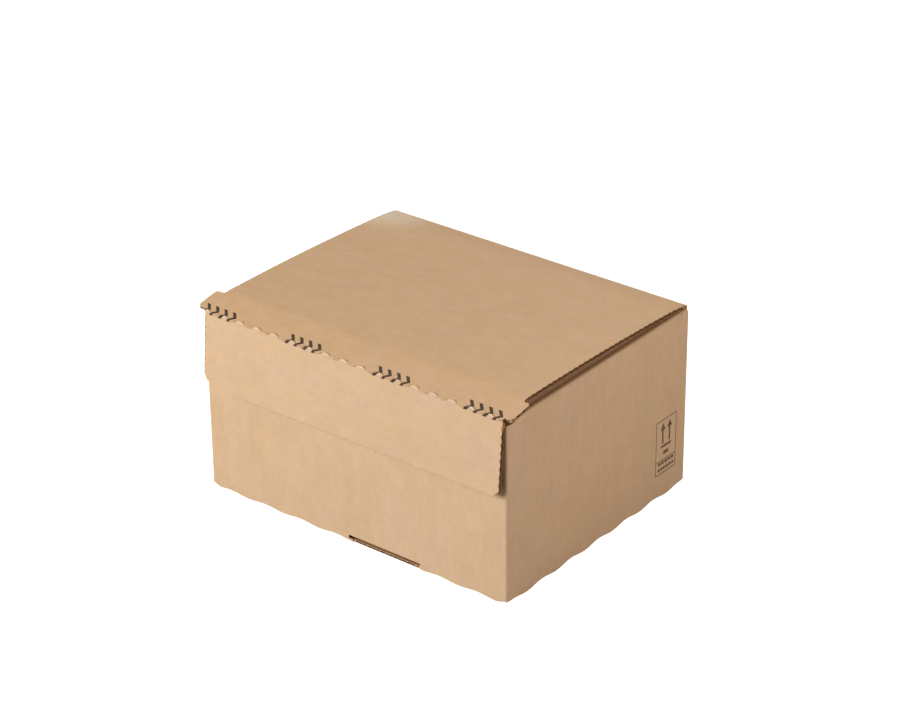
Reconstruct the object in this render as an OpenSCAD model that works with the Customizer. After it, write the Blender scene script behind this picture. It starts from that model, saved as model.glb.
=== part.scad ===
/* [Board] */
// Thickness of the corrugated board
board = 2.8; // [2.4:0.1:3.4]
// Thickness of each flat facing sheet of the board
facing = 0.35; // [0.25:0.05:0.5]
// Thickness of the fluted sheet between the facings
medium = 0.35; // [0.25:0.05:0.5]
// Distance from one flute crest to the next
flute_pitch = 6.4; // [5.5:0.1:8]
// Thickness of the board where a cut crease has crushed it
crushed = 1; // [0.8:0.1:1.4]

/* [Body] */
// Outside width, left to right
box_width = 291.5; // [220:1:380]
// Outside depth, front to back
box_depth = 230.5; // [170:1:300]
// Height over the folded tops of the side walls
box_height = 152.4; // [110:1:220]
// Outside radius of the four upright corner folds
corner_radius = 2.2; // [1.4:0.1:6]
// How far the front wall and the corners end below the side walls' tops
rim_drop = 2.6; // [1:0.2:6]

/* [Top flaps] */
// How far each top flap reaches in from the outside of its side wall
top_flap_reach = 70; // [40:1:95]
// How far each end of a top flap stops inside the walls' outside faces
top_flap_end_gap = 9; // [6:0.5:20]
// How much shorter each end of a top flap gets towards its free edge
top_flap_taper = 6; // [0:0.5:20]
// Outside radius of the fold between a side wall and its top flap
top_fold_radius = 3.2; // [3:0.1:5]

/* [Lid] */
// Width of the lid between its raw side edges
lid_width = 287; // [210:1:380]
// Gap between the lid and the top flaps where the two lie closest
lid_gap = 0.3; // [0.2:0.1:2]
// Slope of the lid at its back crease
back_slope = 9; // [6:0.5:12]
// Angle by which the lid flattens out in front of its back crease
back_bend = 6.1; // [0:0.1:8]
// Length of board over which it flattens out
back_bend_length = 24; // [10:1:60]
// Angle by which the lid's main panel bows
lid_bow = 3.3; // [0:0.1:5]
// Angle of the soft ridge between the main panel and the tear strip
ridge_turn = 9.5; // [2:0.5:14]
// Width of the tear strip between the ridge and the front crease
strip_width = 28.5; // [20:0.5:40]
// Length of board over which the ridge bends
ridge_bend = 7; // [3:0.5:12]
// Running gap round the back crease
crease_gap = 0.35; // [0.3:0.05:0.6]

/* [Pull ears] */
// How far the left ear stands out past the lid's side edge
ear_reach_left = 8; // [6:0.5:12]
// How far the right ear stands out past the lid's side edge
ear_reach_right = 6.5; // [6:0.5:12]
// Distance from the front crease to the near end of each ear
ear_start = 2.5; // [2:0.5:8]
// Length of each ear along the lid's side edge
ear_length = 22; // [14:0.5:24]
// Radius of the ears' front corners
ear_front_radius = 4; // [2:0.5:6]
// Radius of the ears' back corners and of the notches behind them
ear_back_radius = 2.5; // [1:0.5:3]

/* [Front flap] */
// Width of the front flap
flap_width = 285.5; // [210:1:380]
// How far the flap sits to the right of the lid's middle
flap_offset = 1.1; // [-2:0.1:2]
// Length of the front flap from the crease to its raw lower edge
flap_length = 62; // [40:1:90]
// Angle by which the front flap stands off the front wall
flap_lean = 5; // [2:0.5:12]
// Gap between the front flap and the top of the front wall
flap_gap = 0.4; // [0.3:0.1:2]
// How far the right lower corner of the flap is cut back
flap_right_cut = 5; // [2:0.5:14]
// Height of the crushed left lower corner of the flap
flap_left_cut_height = 10.4; // [3:0.2:16]
// Width of the crushed left lower corner of the flap
flap_left_cut_width = 26; // [6:1:36]

/* [Wave-cut crease] */
// Distance from one lobe to the next along the front crease
lobe_pitch = 17; // [12:0.5:24]
// Height of each lobe
lobe_height = 1.2; // [0.8:0.1:1.6]
// Gap between neighbouring lobes of the lid and the flap
lobe_gap = 0.3; // [0.3:0.1:1]

/* [Base] */
// Outside radius of the bottom folds of the front and back walls
front_fold_radius = 4.5; // [4:0.1:7]
// Outside radius of the bottom folds of the side walls
side_fold_radius = 7; // [4:0.1:9]
// Distance between the lobes along the front and back bottom folds
front_scallop_pitch = 36; // [24:1:48]
// Distance between the lobes along the side bottom folds
side_scallop_pitch = 36; // [24:1:48]
// How much earlier the front lobes come to the right of the lock slot
front_scallop_step = 8; // [0:0.5:12]
// Height of the lobes along the front and back bottom folds
front_scallop_height = 1.4; // [0.5:0.1:3]
// Height of the lobes along the side bottom folds
side_scallop_height = 2; // [0.5:0.1:3]
// How far the upright corner folds end above the ground
corner_lift = 2.4; // [1:0.2:3]
// Thickness of the lobes that reach down over the bottom folds
scallop_thickness = 1.4; // [1:0.1:2]
// How far the side base flaps reach in from the outside of their walls
side_base_reach = 100; // [60:1:105]
// Length over which a side base flap climbs onto the outer base flaps
base_ramp = 8; // [5:0.5:14]
// Distance of the seam between the two outer base flaps behind the middle
base_seam = 28; // [10:1:60]
// Width of that seam
seam_gap = 0.8; // [0.4:0.1:2]

/* [Lock slot] */
// Width of the slot in the front bottom fold
slot_width = 69.4; // [40:0.5:90]
// Height of the slot
slot_height = 5.2; // [4.4:0.1:8]
// Distance of the slot's middle to the right of the box's middle
slot_offset = 29.3; // [0:0.1:60]
// Thickness of the pressed locking tab in the slot
tab_thickness = 2.2; // [1.6:0.1:2.6]
// How far the tab's raw edge lies behind the front wall's face
tab_recess = 1; // [0.5:0.1:3]
// Play of the tab at the left end of its slot
tab_play = 4; // [1:0.5:8]

/* [Glued joint] */
// Width of the glue tab inside the left wall
glue_tab_width = 30; // [20:1:45]
// Width of the open line beside the left wall's raw back edge
joint_line = 0.6; // [0.4:0.1:1.2]

/* [Seal and tear tape] */
// Distance from the front crease to the adhesive strip's near edge
adhesive_start = 30; // [15:1:50]
// Width of the adhesive strip
adhesive_width = 12; // [6:1:20]
// Thickness of the adhesive strip
adhesive_thickness = 0.4; // [0.3:0.1:0.6]
// Width of the release liner over the adhesive
release_width = 17; // [8:1:28]
// Thickness of the release liner
release_thickness = 0.3; // [0.2:0.1:0.5]
// How far the release liner stops inside each side edge of the flap
release_inset = 2; // [1:1:10]
// How far the adhesive stops inside each end of the release liner
adhesive_inset = 6; // [2:1:20]
// Width of the tear tape under the strip
tape_width = 6; // [4:1:10]
// Thickness of the tear tape
tape_thickness = 0.3; // [0.2:0.1:0.5]
// Thickness of the glue between the tear tape and the strip
tape_glue = 0.04; // [0.02:0.01:0.1]
// Distance from the front crease to the middle of the tear tape
tape_start = 15; // [10:0.5:18]

/* [Hidden] */

kraft = [0.76, 0.62, 0.46];
kraft_light = [0.8, 0.67, 0.52];
tape_white = [0.93, 0.93, 0.9];
glue_clear = [0.88, 0.85, 0.74];
release_white = [0.9, 0.92, 0.95];

flute_steps = 8;
scallop_steps = 12;
corner_ease = 7;
bend_steps = 6;
lobe_steps = 8;
past = 1;
crush_length = 4;
plate_lap = 2.4;
lobe_setback = 1.9;
lobe_least = 1.5;
mitre_setback = 3;
glue_line = 0.09 * flute_pitch;

half_w = box_width / 2;
half_d = box_depth / 2;
rim = box_height - rim_drop;

// The lid swings about the middle of a rounded board edge on top of the back wall.
hinge_y = half_d - board / 2;
flaps_behind = top_flap_end_gap - board / 2;
clearing_slope = back_slope - back_bend * flaps_behind / back_bend_length / 2;
hinge_z = box_height + lid_gap + board / 2 / cos(clearing_slope) - flaps_behind * tan(clearing_slope);

// The lid's slope falls from its back crease to its front crease.
bow_slope = back_slope - back_bend;
ridge_slope = bow_slope - lid_bow;
main_slope = (bow_slope + ridge_slope) / 2;
strip_angle = ridge_turn - ridge_slope;
lid_start = board / 2 + crease_gap;
strip_flat = strip_width - ridge_bend / 2;
back_move = walked([[lid_start, 0], [back_bend_length, back_bend]], lid_start + back_bend_length,
                   [0, 0, 180 - back_slope]);
front_move = walked([[ridge_bend, ridge_turn], [strip_flat, 0]], ridge_bend + strip_flat,
                    [0, 0, 180 - ridge_slope]);

// The front crease lies on the outside of the fold between strip and flap, and the main
// panel is as long as lets the flap clear the top of the front wall by its gap.
back_y = hinge_y + back_move[0] + front_move[0] - board / 2 * sin(strip_angle);
back_z = hinge_z + back_move[1] + front_move[1] + board / 2 * cos(strip_angle);
flap_y = -half_d - flap_gap - board / cos(flap_lean);
main_chord = (back_y - flap_y - (back_z - rim) * tan(flap_lean))
             / (cos(main_slope) + sin(main_slope) * tan(flap_lean));
crease_y = back_y - main_chord * cos(main_slope);
crease_z = back_z + main_chord * sin(main_slope);
lid_end = [crease_y, crease_z] + board / 2 * [sin(strip_angle), -cos(strip_angle)];
main_length = lid_bow == 0 ? main_chord : main_chord * (lid_bow * PI / 360) / sin(lid_bow / 2);
lid_runs = [
    [back_bend_length, back_bend],
    [main_length, lid_bow],
    [ridge_bend, ridge_turn],
    [strip_flat, 0]
];
lid_length = back_bend_length + main_length + ridge_bend + strip_flat;

// A folded strip of board is a list of runs, each [length, turn]. A pose is [x, y, heading].
function stepped(pose, length, turn) =
    let (dir = pose[2])
    turn == 0
    ? [pose[0] + length * cos(dir), pose[1] + length * sin(dir), dir]
    : let (radius = length / (turn * PI / 180))
      [
        pose[0] + radius * (sin(dir + turn) - sin(dir)),
        pose[1] + radius * (cos(dir) - cos(dir + turn)),
        dir + turn
      ];

function walked(runs, s, pose, i = 0) =
    let (length = runs[i][0], turn = runs[i][1])
    s <= length || i == len(runs) - 1
    ? stepped(pose, s, turn * s / length)
    : walked(runs, s - length, stepped(pose, length, turn), i + 1);

function on_board(runs, start, s, depth) =
    let (pose = walked(runs, s, start))
    [pose[0] - depth * sin(pose[2]), pose[1] + depth * cos(pose[2])];

function run_start(runs, i) = i == 0 ? 0 : run_start(runs, i - 1) + runs[i - 1][0];

function stations(runs) = [
    for (i = [0:len(runs) - 1])
        let (steps = runs[i][1] == 0 ? 1 : bend_steps)
        for (j = [(i == 0 ? 0 : 1):steps])
            run_start(runs, i) + runs[i][0] * j / steps
];

// One channel of the board: its flat side lies on a facing and its curved side on the fluted sheet.
function channel(runs, start, from, side, thick) =
    let (
        flat = side * (thick / 2 - facing),
        swing = thick / 2 - facing - medium / 2
    )
    [
        on_board(runs, start, from + glue_line, flat),
        on_board(runs, start, from + flute_pitch - glue_line, flat),
        for (j = [flute_steps - 1:-1:1])
            on_board(runs, start, from + flute_pitch * j / flute_steps,
                     side * (swing * cos(360 * j / flute_steps) + medium / 2))
    ];

// The section of a folded strip, with its ends cut square or slanted and flutes between two distances.
module board_section(runs, start, end_cut = 0, end_slant = 0, fluted = [0, -1], thick = board) {
    marks = stations(runs);
    last = len(marks) - 1;
    low = [for (i = [0:last])
        on_board(runs, start, marks[i] - (i == last ? end_cut : 0), -thick / 2)];
    high = [for (i = [last:-1:0])
        on_board(runs, start, marks[i] - (i == last ? end_cut + end_slant : 0), thick / 2)];
    count = floor((fluted[1] - fluted[0]) / (flute_pitch / 2)) - 1;
    channels = [for (k = [0:1:count - 1])
        channel(runs, start, fluted[0] + k * flute_pitch / 2, k % 2 == 0 ? 1 : -1, thick)];
    rim_points = concat(low, high);
    points = concat(rim_points, [for (c = channels) each c]);
    corners = flute_steps + 1;
    paths = concat(
        [[for (i = [0:len(rim_points) - 1]) i]],
        [for (k = [0:1:count - 1]) [for (j = [0:corners - 1]) len(rim_points) + k * corners + j]]
    );
    polygon(points, paths);
}

// Stands a section drawn in Y and Z up along X, between two places.
module along_x(from, to) {
    translate([from, 0, 0])
        rotate([90, 0, 90])
            linear_extrude(to - from)
                children();
}

// Stands a section drawn in X and Z up along Y, between two places.
module along_y(from, to) {
    translate([0, to, 0])
        rotate([90, 0, 0])
            linear_extrude(to - from)
                children();
}

// Half-round lobes of a wave cut, drawn from below their root line to their rounded tips.
// The board's side edges cut through the lobes at the two ends.
module lobe_row(from, to, shift) {
    span = lobe_pitch / 2 - lobe_gap;
    first = floor((from - shift) / lobe_pitch);
    last = ceil((to - shift) / lobe_pitch);
    intersection() {
        translate([from, -plate_lap])
            square([to - from, plate_lap + lobe_height]);
        for (k = [first:last])
            let (start = k * lobe_pitch + shift)
            if (min(to, start + span) - max(from, start) > lobe_least)
                translate([start, 0])
                    polygon([
                        [0, -plate_lap],
                        for (j = [0:lobe_steps])
                            [span * j / lobe_steps, lobe_height * sin(180 * j / lobe_steps)],
                        [span, -plate_lap]
                    ]);
    }
}

// Outline of the lobes that a wall sends down over its bottom fold, tips at zero.
// With shift 0 a tip is in the middle of the wall, with shift 180 it is a hollow.
// Past the place of a step, they come earlier by its length.
module scallop_outline(length, pitch, height, top, shift, step = 0, step_place = 0) {
    steps = round(length / pitch * scallop_steps);
    polygon([
        [-length / 2, top],
        for (i = [0:steps])
            let (
                u = -length / 2 + length * i / steps,
                moved = u > step_place ? u + step : u,
                wave = height * (1 - cos(360 * moved / pitch + shift)) / 2,
                lift = corner_lift * (1 - (length / 2 - abs(u)) / corner_ease)
            )
                [u, max(wave, lift)],
        [length / 2, top]
    ]);
}

// Side wall with the flap folded in at its top and the base flap folded in below, for the right side.
module side_panel() {
    top_bend = top_fold_radius - board / 2;
    low_bend = side_fold_radius - board / 2;
    flap_run = top_flap_reach - top_fold_radius;
    wall_run = box_height - top_fold_radius - side_fold_radius;
    climb = atan(board / base_ramp);
    runs = [
        [flap_run, 0],
        [top_bend * PI / 2, -90],
        [wall_run, 0],
        [low_bend * PI / 2, -90],
        [0.5, -climb],
        [norm([base_ramp, board]), 0],
        [0.5, climb],
        [side_base_reach - side_fold_radius - base_ramp, 0]
    ];
    start = [half_w - top_flap_reach, box_height - board / 2, 0];
    reach = half_d - corner_radius;
    difference() {
        along_y(-reach, reach)
            board_section(runs, start, fluted = [1.5, flap_run - 1.5]);
        for (side = [-1, 1])
            translate([0, 0, rim])
                linear_extrude(rim_drop + past)
                    polygon([
                        [half_w - top_flap_reach - past, side * (half_d + past)],
                        [half_w - top_flap_reach - past, side * (half_d - top_flap_end_gap - top_flap_taper)],
                        [half_w - top_fold_radius, side * (half_d - top_flap_end_gap)],
                        [half_w + past, side * (half_d - top_flap_end_gap)],
                        [half_w + past, side * (half_d + past)]
                    ]);
    }
    translate([half_w - scallop_thickness, 0, 0])
        rotate([90, 0, 90])
            linear_extrude(scallop_thickness)
                scallop_outline(2 * reach, side_scallop_pitch, side_scallop_height, side_fold_radius, 180);
}

// Front wall with its raw top edge and the outer base flap folded in below it.
module front_panel() {
    bend = front_fold_radius - board / 2;
    runs = [
        [rim - front_fold_radius, 0],
        [bend * PI / 2, 90],
        [half_d + base_seam - front_fold_radius, 0]
    ];
    start = [-half_d + board / 2, rim, -90];
    reach = half_w - corner_radius;
    flap_side = half_w - side_fold_radius - base_ramp;
    difference() {
        along_x(-reach, reach)
            board_section(runs, start);
        for (side = [-1, 1])
            translate([side * (flap_side + half_w) / 2, base_seam / 2 + front_fold_radius, 0])
                cube([half_w - flap_side, box_depth + base_seam, 3 * board], center = true);
    }
}

// Back wall with the rounded edge that carries the lid and its outer base flap.
module back_panel() {
    bend = front_fold_radius - board / 2;
    runs = [
        [hinge_z - front_fold_radius, 0],
        [bend * PI / 2, -90],
        [half_d - base_seam - seam_gap - front_fold_radius, 0]
    ];
    start = [hinge_y, hinge_z, -90];
    reach = half_w - corner_radius;
    flap_side = half_w - side_fold_radius - base_ramp;
    difference() {
        along_x(-reach, reach)
            board_section(runs, start);
        for (side = [-1, 1])
            translate([side * (flap_side + half_w) / 2, -front_fold_radius, 0])
                cube([half_w - flap_side, box_depth, 3 * board], center = true);
        for (side = [-1, 1])
            translate([side * (lid_width / 2 + half_w) / 2, hinge_y, rim + box_height / 2])
                cube([half_w - lid_width / 2, 2 * board, box_height], center = true);
    }
    translate([-lid_width / 2, hinge_y, hinge_z])
        rotate([0, 90, 0])
            cylinder(h = lid_width, d = board, $fn = 32);
}

// Scalloped lower edge of the front or back wall.
module front_scallops(side) {
    reach = half_w - corner_radius;
    translate([0, side * (half_d - scallop_thickness / 2) + scallop_thickness / 2, 0])
        rotate([90, 0, 0])
            linear_extrude(scallop_thickness)
                scallop_outline(
                    2 * reach, front_scallop_pitch, front_scallop_height, front_fold_radius, 0,
                    side < 0 ? front_scallop_step : 0, slot_offset
                );
}

// Upright fold of the board at one corner.
module corner_fold(x_side, y_side) {
    middle_x = x_side * (half_w - corner_radius);
    middle_y = y_side * (half_d - corner_radius);
    translate([middle_x, middle_y, 0])
        intersection() {
            difference() {
                cylinder(h = rim, r = corner_radius, $fn = 48);
                if (corner_radius > board)
                    translate([0, 0, -past])
                        cylinder(h = rim + 2 * past, r = corner_radius - board, $fn = 48);
            }
            translate([x_side > 0 ? 0 : -box_width, y_side > 0 ? 0 : -box_depth, corner_lift])
                cube([box_width, box_depth, rim]);
        }
}

// Slot in the front bottom fold, with the raw-edged locking tab that sits in it. At the
// tab's left end the slot is open above a bit of the fold that is left standing.
module lock_slot() {
    left = slot_offset - slot_width / 2;
    translate([left, -half_d - past, tab_thickness])
        cube([slot_width, front_fold_radius + past, slot_height - tab_thickness]);
    translate([left + tab_play, -half_d - past, -past])
        cube([slot_width - tab_play, front_fold_radius + past, tab_thickness + 2 * past]);
}

module lock_tab() {
    width = slot_width - tab_play - 2 * lobe_gap;
    from = slot_offset - slot_width / 2 + tab_play + lobe_gap;
    runs = [[width, 0]];
    along_y(-half_d + tab_recess, -half_d + front_fold_radius + board)
        board_section(runs, [from, tab_thickness / 2, 0], fluted = [1, width - 1], thick = tab_thickness);
}

module box_body() {
    color(kraft) {
        difference() {
            union() {
                side_panel();
                mirror([1, 0, 0])
                    side_panel();
                front_panel();
                back_panel();
                front_scallops(-1);
                front_scallops(1);
                for (x_side = [-1, 1])
                    for (y_side = [-1, 1])
                        corner_fold(x_side, y_side);
                translate([-half_w + board, half_d - board - glue_tab_width, 2 * board])
                    cube([board, glue_tab_width, rim - 2 * board - board]);
            }
            lock_slot();
            translate([-half_w - past, half_d - corner_radius - joint_line, side_fold_radius])
                cube([past + board - facing, joint_line, rim - side_fold_radius - rim_drop]);
        }
        lock_tab();
    }
}

// Cuts the lid's side edge back behind a pull ear, for the right side.
module beside_ear(reach) {
    ear_front = crease_y + ear_start;
    ear_back = ear_front + ear_length;
    side = lid_width / 2;
    tip = side + reach;
    far = tip + past;
    r = ear_front_radius;
    b = ear_back_radius;
    translate([0, 0, rim - board])
        linear_extrude(box_height)
            difference() {
                translate([side, crease_y - board])
                    square([far - side, box_depth + 2 * board]);
                translate([side - past, ear_front])
                    square([reach + past - r, r]);
                translate([side - past, ear_front + r])
                    square([reach + past, ear_length - r - b]);
                translate([side - past, ear_back - b])
                    square([reach + past - b, b]);
                translate([tip - r, ear_front + r])
                    circle(r, $fn = 48);
                translate([tip - b, ear_back - b])
                    circle(b, $fn = 32);
                difference() {
                    translate([side - past, ear_back - past])
                        square([b + past, b + past]);
                    translate([side + b, ear_back + b])
                        circle(b, $fn = 32);
                }
            }
}

module lid() {
    start = [
        hinge_y - lid_start * cos(back_slope),
        hinge_z + lid_start * sin(back_slope),
        180 - back_slope
    ];
    color(kraft_light) {
        difference() {
            along_x(-lid_width / 2 - ear_reach_left, lid_width / 2 + ear_reach_right)
                board_section(
                    lid_runs, start,
                    end_cut = lobe_setback,
                    end_slant = mitre_setback - lobe_setback,
                    fluted = [crush_length / 2, lid_length - mitre_setback - crush_length / 2]
                );
            beside_ear(ear_reach_right);
            mirror([1, 0, 0])
                beside_ear(ear_reach_left);
        }
        translate([0, crease_y, crease_z])
            rotate([strip_angle, 0, 0])
                mirror([0, 1, 0])
                    translate([0, 0, -crushed])
                        linear_extrude(crushed)
                            lobe_row(-lid_width / 2, lid_width / 2, lobe_gap / 2);
    }
}

module tear_tape() {
    depth = board / 2 + tape_glue + tape_thickness / 2;
    middle = lid_end + tape_start * [cos(strip_angle), sin(strip_angle)]
             + depth * [sin(strip_angle), -cos(strip_angle)];
    left = lid_width / 2 + ear_reach_left - ear_back_radius;
    right = lid_width / 2 + ear_reach_right - ear_back_radius;
    color(tape_white)
        translate([(right - left) / 2, middle[0], middle[1]])
            rotate([strip_angle, 0, 0])
                cube([left + right, tape_width, tape_thickness], center = true);
}

// Places what is drawn in the flap's own plane: X along the crease, Z up, outer face at zero.
module on_flap() {
    translate([0, crease_y, crease_z])
        rotate([-flap_lean, 0, 0])
            children();
}

module front_flap() {
    side = flap_width / 2;
    from = flap_offset - side;
    to = flap_offset + side;
    runs = [[flap_length, 0]];
    bottom_cut = 0.4;
    color(kraft_light)
        on_flap() {
            difference() {
                along_x(from, to)
                    board_section(
                        runs, [board / 2, -flap_length, 90],
                        end_cut = mitre_setback,
                        end_slant = lobe_setback - mitre_setback,
                        fluted = [bottom_cut, flap_length - mitre_setback - crush_length / 2]
                    );
                translate([0, board + past, 0])
                    rotate([90, 0, 0])
                        linear_extrude(board + 2 * past) {
                            polygon([
                                [to + past, -flap_length - past],
                                [to - flap_right_cut - past, -flap_length - past],
                                [to + past, -flap_length + flap_right_cut + past]
                            ]);
                            polygon([
                                [from - past, -flap_length - past],
                                [from - past, -flap_length + flap_left_cut_height],
                                [from, -flap_length + flap_left_cut_height],
                                [from + 0.09 * flap_left_cut_width, -flap_length + 0.47 * flap_left_cut_height],
                                [from + 0.2 * flap_left_cut_width, -flap_length + 0.35 * flap_left_cut_height],
                                [from + flap_left_cut_width, -flap_length],
                                [from + flap_left_cut_width, -flap_length - past]
                            ]);
                        }
            }
            translate([0, crushed, 0])
                rotate([90, 0, 0])
                    linear_extrude(crushed)
                        lobe_row(from, to, lobe_gap / 2 + lobe_pitch / 2);
        }
}

module adhesive_strip() {
    length = flap_width - 2 * release_inset - 2 * adhesive_inset;
    color(glue_clear)
        on_flap()
            translate([flap_offset - length / 2, board, -adhesive_start - adhesive_width])
                cube([length, adhesive_thickness, adhesive_width]);
}

module release_liner() {
    length = flap_width - 2 * release_inset;
    spare = (release_width - adhesive_width) / 2;
    color(release_white)
        on_flap()
            translate([flap_offset - length / 2, board + adhesive_thickness, -adhesive_start - adhesive_width - spare])
                cube([length, release_thickness, release_width]);
}

box_body();
lid();
tear_tape();
front_flap();
adhesive_strip();
release_liner();
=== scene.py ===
import math

import bpy
from mathutils import Matrix, Vector
from mathutils.bvhtree import BVHTree


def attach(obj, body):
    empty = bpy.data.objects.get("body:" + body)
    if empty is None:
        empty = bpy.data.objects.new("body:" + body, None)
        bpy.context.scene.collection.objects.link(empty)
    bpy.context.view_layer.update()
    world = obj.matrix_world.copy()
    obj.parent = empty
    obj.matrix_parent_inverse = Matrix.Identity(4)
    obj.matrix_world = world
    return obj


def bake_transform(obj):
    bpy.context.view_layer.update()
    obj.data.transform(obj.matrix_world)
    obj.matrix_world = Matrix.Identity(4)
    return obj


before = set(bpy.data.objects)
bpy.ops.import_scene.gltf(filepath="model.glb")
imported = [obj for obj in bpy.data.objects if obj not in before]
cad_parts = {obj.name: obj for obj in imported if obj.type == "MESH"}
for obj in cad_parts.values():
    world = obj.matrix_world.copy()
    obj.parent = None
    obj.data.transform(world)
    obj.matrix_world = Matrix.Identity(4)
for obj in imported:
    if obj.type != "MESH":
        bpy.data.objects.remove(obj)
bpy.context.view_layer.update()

# Box body: four walls, top flaps and base flaps of one blank of uncoated kraft board.
# The blank is creased, folded up and glued along one corner. Its outer liner is brown
# kraft paper with a cloudy sheet, fine long fibres and faint streaks down the walls.
BODY_PAPER = (0.6, 0.401, 0.24, 1)
BODY_CUT_PAPER = (0.32, 0.165, 0.065, 1)
# Painted shade for the lock slot's inside and for the tab's flute cells.
CELL_PAINTED_SHADE = (0.15, 0.062, 0.022, 1)
WALL_STREAK = (1, 1, 0.2)
WALL_FIBRE = (1, 1, 0.45)
SHEET_CLOUD = 0.15
SHEET_FLECK = 0.05
BOARD_RELIEF = 0.35
BOARD_RELIEF_DEPTH = 0.00012
BOARD_GLOSS = 0.35


def lay_node(tree, kind, inputs=None, **settings):
    """Adds one shader node, sets its options and fills or links its sockets."""
    node = tree.nodes.new(kind)
    for option, value in settings.items():
        setattr(node, option, value)
    for socket, value in (inputs or {}).items():
        if isinstance(value, bpy.types.NodeSocket):
            tree.links.new(value, node.inputs[socket])
        else:
            node.inputs[socket].default_value = value
    return node


def work_out(tree, operation, *terms):
    """One step of arithmetic between values, sockets or both."""
    return lay_node(tree, "ShaderNodeMath", dict(enumerate(terms)), operation=operation).outputs[0]


def add_up(tree, start, parts):
    """A start value with each part added by its own weight."""
    total = start
    for part, weight in parts:
        total = work_out(tree, "MULTIPLY_ADD", part, weight, total)
    return total


def stretch(tree, place, factors):
    """Stretches or squeezes a pattern's place along the three axes."""
    return lay_node(tree, "ShaderNodeVectorMath", {0: place, 1: factors}, operation="MULTIPLY").outputs[0]


def noise(tree, place, scale, detail, roughness=0.5):
    """A cloudy value between 0 and 1 that changes over the surface."""
    return lay_node(tree, "ShaderNodeTexNoise", {
        "Vector": place, "Scale": scale, "Detail": detail, "Roughness": roughness,
    }).outputs["Fac"]


def ramp(tree, value, start, end, low=0.0, high=1.0, kind="LINEAR"):
    """Takes a value from low, at start, to high, at end."""
    return lay_node(tree, "ShaderNodeMapRange", {
        "Value": value, "From Min": start, "From Max": end, "To Min": low, "To Max": high,
    }, interpolation_type=kind).outputs[0]


def mix_colours(tree, share, first, second):
    """Blends two colours by a share between 0 and 1."""
    return lay_node(tree, "ShaderNodeMix", {0: share, 6: first, 7: second}, data_type="RGBA").outputs[2]


def sway(tree, pattern, amount):
    """How far a pattern pushes a tone to either side of its middle."""
    return work_out(tree, "MULTIPLY", work_out(tree, "SUBTRACT", pattern, 0.5), amount)


def new_effect(name, takes, gives):
    """Starts a shader node group with named inputs and outputs."""
    effect = bpy.data.node_groups.new(name, "ShaderNodeTree")
    for label, (kind, value) in takes.items():
        socket = effect.interface.new_socket(label, in_out="INPUT", socket_type=kind)
        if value is not None:
            socket.default_value = value
    for label, kind in gives.items():
        effect.interface.new_socket(label, in_out="OUTPUT", socket_type=kind)
    start = effect.nodes.new("NodeGroupInput")
    end = effect.nodes.new("NodeGroupOutput")
    return effect, start.outputs, end.inputs


def place_effect(tree, effect, inputs):
    """Places a node group in a material with its own values."""
    return lay_node(tree, "ShaderNodeGroup", inputs, node_tree=effect).outputs


# The paper sheet: clouds where the fibres lie thicker, flecks of dark and pale fibre, long streaks from
# the paper machine, fine tooth, and the flutes showing faintly through, as relief and as faint painted
# shade lines.
kraft_sheet, given, made = new_effect("kraft_sheet", {
    "Position": ("NodeSocketVector", None),
    "Paper": ("NodeSocketColor", (0.6, 0.4, 0.24, 1)),
    "Streak": ("NodeSocketVector", (1, 1, 1)),
    "Fibre": ("NodeSocketVector", (1, 1, 1)),
    "Cloud": ("NodeSocketFloat", 0.05),
    "Fleck": ("NodeSocketFloat", 0.1),
    "Flute": ("NodeSocketFloat", 0.0),
}, {"Color": "NodeSocketColor", "Roughness": "NodeSocketFloat", "Height": "NodeSocketFloat"})
streaked = stretch(kraft_sheet, given["Position"], given["Streak"])
fibred = stretch(kraft_sheet, given["Position"], given["Fibre"])
clouds = noise(kraft_sheet, given["Position"], scale=46, detail=5, roughness=0.7)
mottle = noise(kraft_sheet, fibred, scale=210, detail=3, roughness=0.65)
streaks = noise(kraft_sheet, streaked, scale=110, detail=3, roughness=0.55)
fibres = noise(kraft_sheet, fibred, scale=620, detail=2)
tooth = noise(kraft_sheet, given["Position"], scale=1900, detail=2)
pulp = noise(kraft_sheet, streaked, scale=62, detail=2)
dark_flecks = ramp(kraft_sheet, fibres, 0.6, 0.72)
pale_flecks = ramp(kraft_sheet, fibres, 0.38, 0.27)
flecks = work_out(kraft_sheet, "SUBTRACT", pale_flecks, dark_flecks)
# The flute wave also darkens and lightens the tone a little: painted shade lines along the flutes.
tone = add_up(kraft_sheet, 1.0, (
    (sway(kraft_sheet, clouds, given["Cloud"]), 1.0),
    (sway(kraft_sheet, mottle, given["Cloud"]), 1.1),
    (sway(kraft_sheet, streaks, given["Cloud"]), 0.8),
    (work_out(kraft_sheet, "MULTIPLY", flecks, given["Fleck"]), 1.0),
    (sway(kraft_sheet, tooth, given["Fleck"]), 1.0),
    (given["Flute"], 0.004),
))
pulp_sway = sway(kraft_sheet, pulp, given["Cloud"])
tinted = lay_node(kraft_sheet, "ShaderNodeHueSaturation", {
    "Color": given["Paper"], "Value": tone,
    "Saturation": work_out(kraft_sheet, "MULTIPLY_ADD", pulp_sway, 1.3, 1.0),
    "Hue": work_out(kraft_sheet, "MULTIPLY_ADD", pulp_sway, 0.06, 0.5),
}).outputs[0]
kraft_sheet.links.new(tinted, made["Color"])
kraft_sheet.links.new(work_out(kraft_sheet, "MULTIPLY_ADD", mottle, 0.16, 0.58), made["Roughness"])
kraft_sheet.links.new(add_up(kraft_sheet, 0.0, (
    (fibres, 0.35), (tooth, 0.35), (mottle, 0.6), (given["Flute"], 0.15),
)), made["Height"])

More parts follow.
